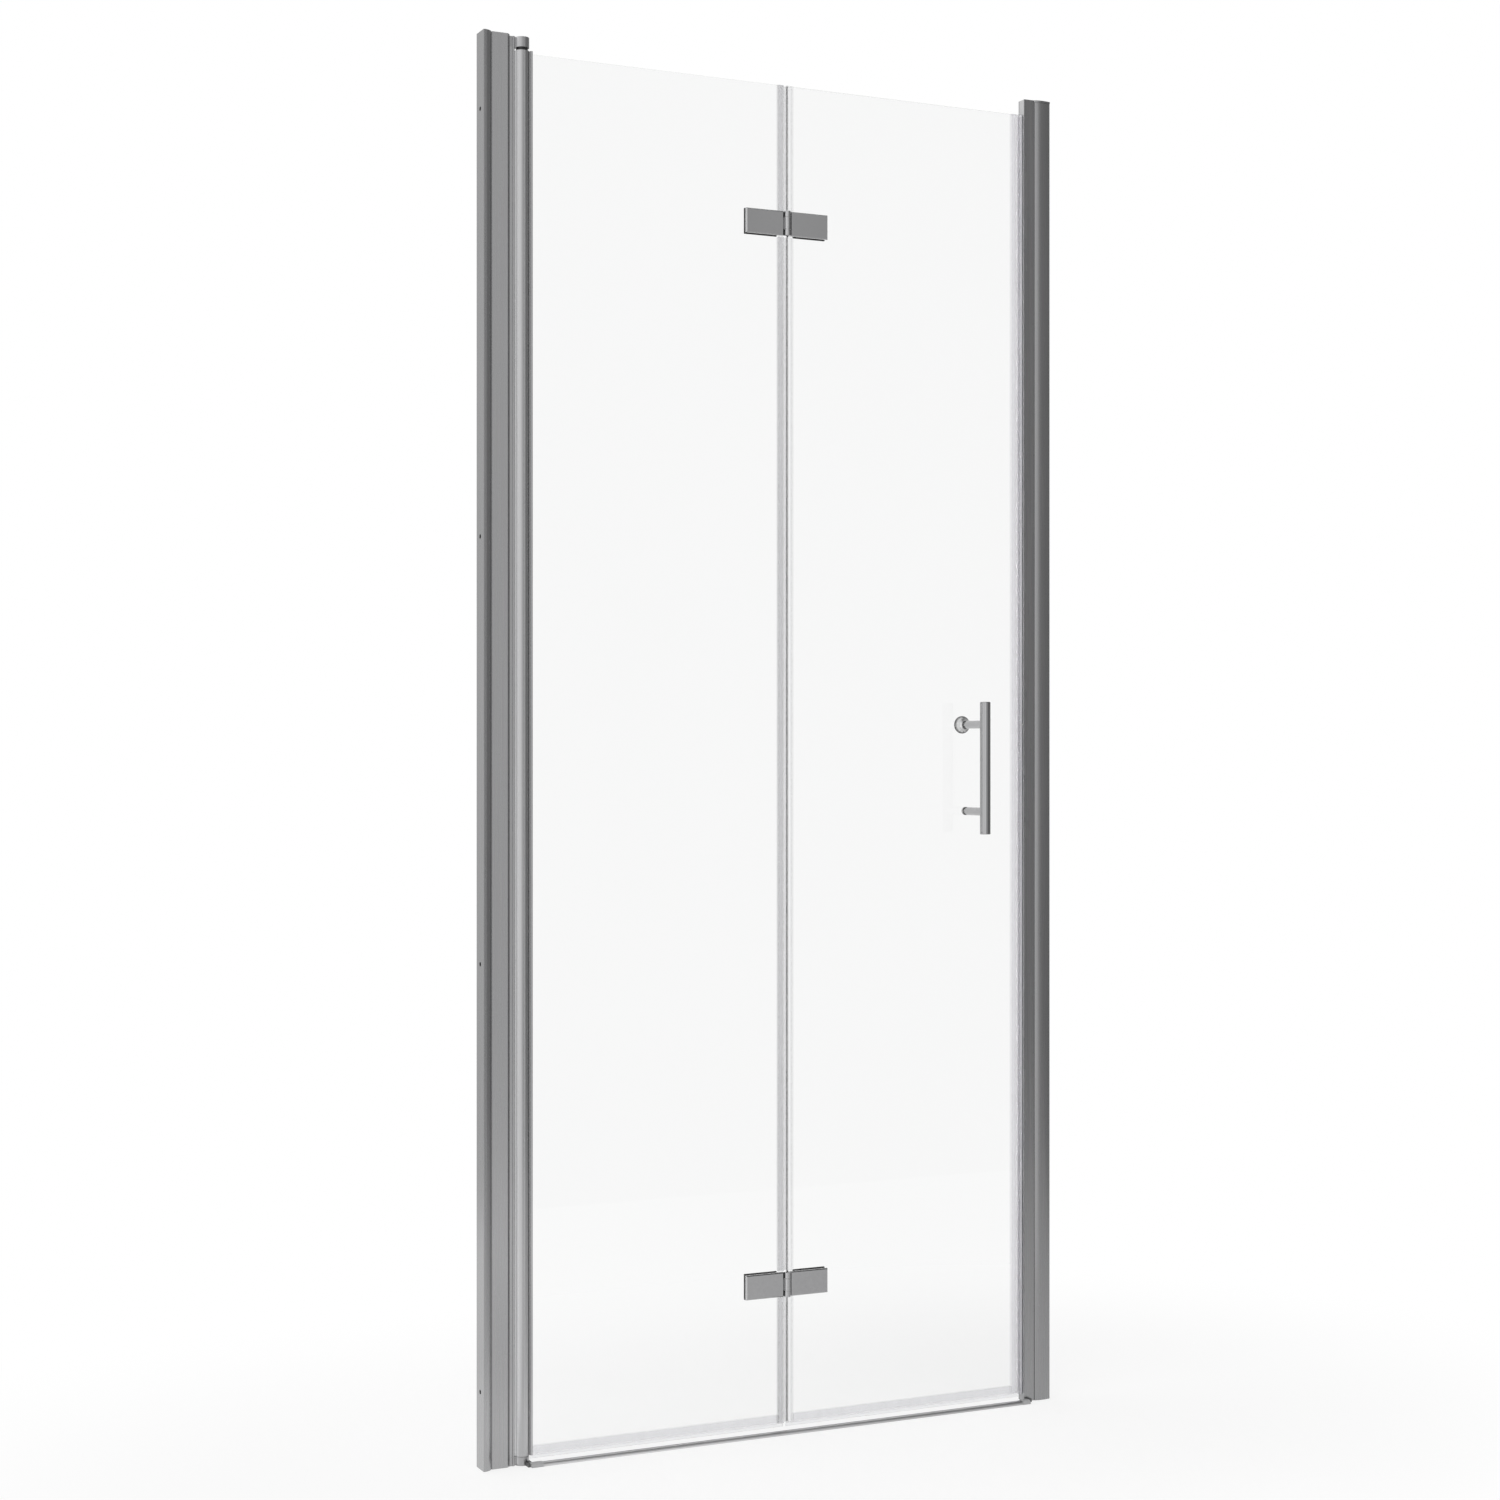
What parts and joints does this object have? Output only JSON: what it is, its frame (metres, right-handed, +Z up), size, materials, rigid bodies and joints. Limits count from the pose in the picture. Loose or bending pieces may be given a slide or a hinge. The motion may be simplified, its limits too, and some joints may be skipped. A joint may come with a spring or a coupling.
{
  "type": "bifold shower door",
  "caption": "Framed bifold glass shower door: two hinged leaves turn on a rise-and-fall pole, fold outside face to outside face, and close on a magnet seal.",
  "frame": {"origin": "on the floor under the turning axis of the pole, in the middle of the pivot block's foot", "axes": "+X along the door from the pole to the right wall, +Y into the shower, so -Y is the outside with the handle, and +Z up"},
  "size_m": [0.9, 0.0802, 1.95],
  "materials": {
    "frame_aluminium": "bright polished extrusion",
    "pole_aluminium": "bright polished extrusion",
    "bracket_metal": "satin chromed die casting",
    "cap_plastic": "metal-look moulded plastic",
    "sill_aluminium": "bright polished extrusion",
    "screw_steel": "plain steel",
    "black_nylon": "fine moulded texture",
    "black_rubber": "matt",
    "white_nylon": "natural nylon",
    "grey_gasket": "soft grey gasket",
    "clear_glass": "clear toughened glass",
    "clear_seal": "clear soft plastic",
    "magnet_seal_plastic": "cloudy soft plastic",
    "magnet_rubber": "bonded magnet strip in a pale sleeve",
    "hinge_chrome": "polished",
    "handle_chrome": "polished"
  },
  "bodies": {
    "wall_frame": {"left_wall_channel": "frame_aluminium", "left_sliding_profile": "frame_aluminium", "left_fixing_screws": "screw_steel", "top_bracket": "bracket_metal", "top_bracket_screw": "screw_steel", "pivot_block": "bracket_metal", "pivot_block_screw": "screw_steel", "lower_lift_cam": "white_nylon", "right_wall_channel": "frame_aluminium", "right_channel_cap": "cap_plastic", "magnet_profile": "frame_aluminium", "frame_magnet_strip": "magnet_rubber", "right_fixing_screws": "screw_steel", "sill_strip": "sill_aluminium", "sill_end_cap_left": "cap_plastic", "sill_end_cap_right": "cap_plastic", "sill_pad_left": "black_rubber", "sill_pad_right": "black_rubber"},
    "lift_spindle": {"pivot_sleeve": "black_nylon", "pivot_pin": "screw_steel"},
    "pole_leaf": {"pole": "pole_aluminium", "pole_bush": "white_nylon", "upper_lift_cam": "white_nylon", "glazing_gasket": "grey_gasket", "pole_glass": "clear_glass", "fold_seal_pole": "clear_seal", "bottom_seal_pole": "clear_seal", "hinge_front_pole_upper": "hinge_chrome", "hinge_front_pole_lower": "hinge_chrome", "hinge_back_pole_upper": "hinge_chrome", "hinge_back_pole_lower": "hinge_chrome", "hinge_gaskets_pole": "black_rubber", "hinge_screws_pole": "screw_steel", "hinge_pin_upper": "screw_steel", "hinge_pin_lower": "screw_steel", "hinge_washers": "white_nylon"},
    "handle_leaf": {"handle_glass": "clear_glass", "fold_seal_handle": "clear_seal", "bottom_seal_handle": "clear_seal", "magnet_seal": "magnet_seal_plastic", "leaf_magnet_strip": "magnet_rubber", "hinge_front_handle_upper": "hinge_chrome", "hinge_front_handle_lower": "hinge_chrome", "hinge_back_handle_upper": "hinge_chrome", "hinge_back_handle_lower": "hinge_chrome", "hinge_gaskets_handle": "black_rubber", "hinge_screws_handle": "screw_steel", "handle_bar": "handle_chrome", "handle_post_upper": "handle_chrome", "handle_post_lower": "handle_chrome", "handle_washers": "black_rubber", "handle_bushes": "white_nylon", "handle_stud_upper": "screw_steel", "handle_stud_lower": "screw_steel", "inner_knob": "handle_chrome", "cap_nut": "handle_chrome"}
  },
  "joints": [
    {"name": "pole_lift", "type": "slide", "parent": "wall_frame", "child": "lift_spindle", "axis": [0, 0, 1], "range_m": [0, 0.0035]},
    {"name": "pole_swing", "type": "hinge", "parent": "lift_spindle", "child": "pole_leaf", "pos_m": [0, 0, 0], "axis": [0, 0, 1], "range_deg": [0, 90]},
    {"name": "leaf_fold", "type": "hinge", "parent": "pole_leaf", "child": "handle_leaf", "pos_m": [0.401, -0.0075, 0], "axis": [0, 0, -1], "range_deg": [0, 165]}
  ],
  "couplings": [
    {"joint": "pole_lift", "follows": "pole_swing", "m_per_rad": 0.00223}
  ]
}
